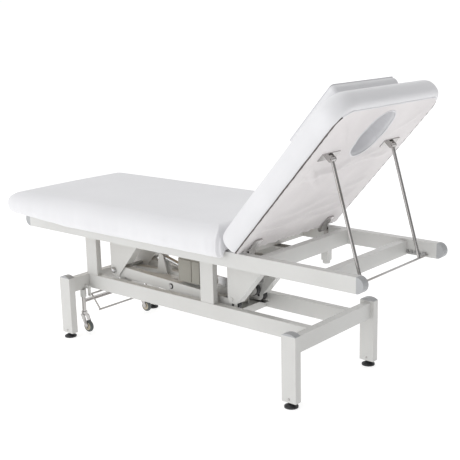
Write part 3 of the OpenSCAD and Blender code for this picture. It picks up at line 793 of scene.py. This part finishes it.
@dataclass
class FrameTrims:
    """Weld beads, bolt heads and the control box's cover."""

    bead: float = 0.0016

    def rectangle(self, lo: tuple[float, float], hi: tuple[float, float], level: float,
                  across: int) -> Array:
        """A closed rectangle of points in the plane square to one axis.

        Args:
            lo: low corner in the other two axes.
            hi: high corner in them.
            level: place along the axis.
            across: the axis, 0, 1 or 2.

        Returns:
            Points round the rectangle, n by 3.
        """
        corner = np.array([[lo[0], lo[1]], [hi[0], lo[1]], [hi[0], hi[1]], [lo[0], hi[1]]])
        share = np.linspace(0, 1, 10, endpoint=False)[:, None]
        flat = np.vstack([corner[k] + (corner[(k + 1) % 4] - corner[k]) * share for k in range(4)])
        return np.insert(flat, across, level, axis=1)

    def build_welds(self, paint: bpy.types.Material) -> None:
        """Builds the beads where the posts stand on the base rails and the end tubes meet the legs.

        Args:
            paint: the frame's finish.
        """
        lo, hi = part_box("rest_posts")
        for end, x in (("foot", lo.x), ("head", hi.x - 0.065)):
            for side, y in (("near", lo.y), ("far", hi.y - 0.025)):
                path = self.rectangle((x, y), (x + 0.065, y + 0.025), lo.z, 2)
                bead = tube_object(f"weld_post_{side}_{end}", path, self.bead, True, 6)
                dress(bead, paint, "base")
        for end in ("head", "foot"):
            lo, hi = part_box(f"base_cross_{end}")
            for side, y in (("near", lo.y), ("far", hi.y)):
                path = self.rectangle((lo.x, lo.z), (hi.x, hi.z), y, 1)
                bead = tube_object(f"weld_leg_{side}_{end}", path, self.bead, True, 6)
                dress(bead, paint, "base")

    def build_bolts(self, steel: bpy.types.Material) -> None:
        """Builds a domed nut on each end of the frame's pivot shaft.

        Args:
            steel: the nuts' finish.
        """
        lo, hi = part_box("frame_pivot_shaft")
        centre = (lo + hi) / 2
        dome = np.array([[0.013, 0.0], [0.013, 0.0018], [0.0105, 0.002], [0.0105, 0.005], [0.0085, 0.0075],
                         [0.005, 0.009], [0.001, 0.0094]])
        for side, sign in (("near", -1), ("far", 1)):
            profile = dome * np.array([1, sign])
            start = (centre.x, hi.y if sign > 0 else lo.y, centre.z)
            dress(turned_object(f"pivot_nut_{side}", profile, start, False, 24), steel, "outer_arm_pair")

    def build_cover(self, plastic: bpy.types.Material) -> None:
        """Builds the two cover plates on the control box's outer face, with the gap between them.

        Args:
            plastic: the box's finish.
        """
        lo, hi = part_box("control_box")
        top = lo.z + 0.096
        split = lo.x + 0.072
        for name, x0, x1 in (("box_cover_left", lo.x + 0.004, split - 0.0015),
                             ("box_cover_right", split + 0.0015, hi.x - 0.004)):
            mid, half = (lo.z + 0.004 + top - 0.004) / 2, (top - lo.z) / 2 - 0.004
            rows = []
            for move, out in ((0.0, 0.0), (0.0, 0.0018), (0.0008, 0.0026), (0.002, 0.003)):
                flat = rounded_ring(x0, x1, half, 0.005, 0.005, (move, move, move), arc=6, step=0.02)
                rows.append(np.column_stack([flat[:, 0], np.full(len(flat), lo.y - out), flat[:, 1] + mid]))
            cover = grid_object(name, np.array(rows), close_ends=True)
            dress(cover, plastic, "upper_frame")


# ---- the setting ----


@dataclass
class Studio:
    """Floor, light and camera."""

    place: tuple[float, float, float] = (2.3289, -2.5714, 1.3254)
    azimuth: float = 40.9157
    elevation: float = 13.4426
    roll: float = -1.3840
    lens: float = 71.377
    sky_foot: float = 1.03
    sky_head: float = 0.26
    key_power: float = 25.0
    top_power: float = 4.0

    def build_floor(self, material: bpy.types.Material) -> None:
        """Builds the wide pale floor.

        Args:
            material: the floor's finish.
        """
        side = np.linspace(-30, 30, 3)
        x, y = np.meshgrid(side, side, indexing="ij")
        floor = grid_object("floor", np.stack([x, y, 0 * x], -1), wrap_cols=False)
        floor.data.materials.append(material)

    def build_lights(self) -> None:
        """Adds a surround that dims towards the head end, a soft key from the side and a weak top light."""
        world = bpy.data.worlds.new("surround")
        world.use_nodes = True
        nodes, links = world.node_tree.nodes, world.node_tree.links
        parts = nodes.new("ShaderNodeSeparateXYZ")
        links.new(nodes.new("ShaderNodeTexCoord").outputs["Generated"], parts.inputs["Vector"])
        level = nodes.new("ShaderNodeMapRange")
        for socket, value in (("From Min", -0.35), ("From Max", 1.0), ("To Min", self.sky_foot),
                              ("To Max", self.sky_head)):
            level.inputs[socket].default_value = value
        links.new(parts.outputs["X"], level.inputs["Value"])
        links.new(level.outputs["Result"], nodes["Background"].inputs["Strength"])
        nodes["Background"].inputs["Color"].default_value = (1.0, 1.0, 1.0, 1.0)
        bpy.context.scene.world = world
        bpy.context.scene.view_settings.view_transform = "Standard"
        for name, at, size, power in (("key", (-1.5, -3.7, 1.2), 2.6, self.key_power),
                                      ("top", (-0.3, 0.4, 4.2), 4.0, self.top_power)):
            data = bpy.data.lights.new(name, "AREA")
            data.size, data.energy = size, power
            lamp = bpy.data.objects.new(name, data)
            bpy.context.scene.collection.objects.link(lamp)
            lamp.location = at
            lamp.rotation_euler = (Vector((0, 0, 0.5)) - Vector(at)).to_track_quat("-Z", "Y").to_euler()

    def build_camera(self) -> None:
        """Adds the camera: turned to its azimuth and elevation, then rolled about its own line of sight."""
        a, e, r = (math.radians(v) for v in (self.azimuth, self.elevation, self.roll))
        back = Vector((math.sin(a) * math.cos(e), -math.cos(a) * math.cos(e), math.sin(e)))
        right = Vector((math.cos(a), math.sin(a), 0.0))
        up = back.cross(right)
        turned_right = math.cos(r) * right + math.sin(r) * up
        turned_up = math.cos(r) * up - math.sin(r) * right
        turn = Matrix((turned_right, turned_up, back)).transposed().to_4x4()
        data = bpy.data.cameras.new("camera")
        data.lens, data.sensor_width = self.lens, 36.0
        data.clip_end = 100.0
        camera = bpy.data.objects.new("camera", data)
        bpy.context.scene.collection.objects.link(camera)
        camera.matrix_world = Matrix.Translation(Vector(self.place)) @ turn
        bpy.context.scene.camera = camera


def finish_nodes(made: dict[str, bpy.types.Material]) -> None:
    """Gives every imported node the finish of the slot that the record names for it.

    Args:
        made: the materials by slot name.
    """
    for part in frame["record"]["subparts"]:
        node = frame["nodes"][part["node"]]
        material = made[part["material_slot"]]
        if not node.material_slots:
            node.data.materials.append(material)
        for place in node.material_slots:
            place.material = material


def main() -> None:
    """Builds the studio and every sub-assembly in order."""
    logging.basicConfig(level=logging.INFO)
    studio = Studio()
    studio.build_camera()
    studio.build_lights()
    studio.build_floor(PALE_FLOOR.build())
    made = {slot: finish.build() for slot, finish in FINISHES.items()}
    # The dark cord colour is painted groove shade; the hub colour is the casters' own tan.
    groove_shade, hub = PAINTED_GROOVE_SHADE.build(), TAN_HUB.build()
    finish_nodes(made)
    leather = made["white_leather"]
    SeatCushion().build(leather)
    back = BackCushion()
    back.build_pad(leather)
    back.build_lining(made["lining_cloth"])
    back.build_trims(leather, groove_shade)
    pillow = Pillow()
    pillow.build(leather)
    pillow.build_seams(leather)
    for side in ("near", "far"):
        CasterWheel(side).build(made["tyre_rubber"], hub)
    trims = FrameTrims()
    trims.build_welds(made["powder_coat"])
    trims.build_bolts(made["bright_steel"])
    trims.build_cover(made["motor_plastic"])


if __name__ == "__main__":
    main()
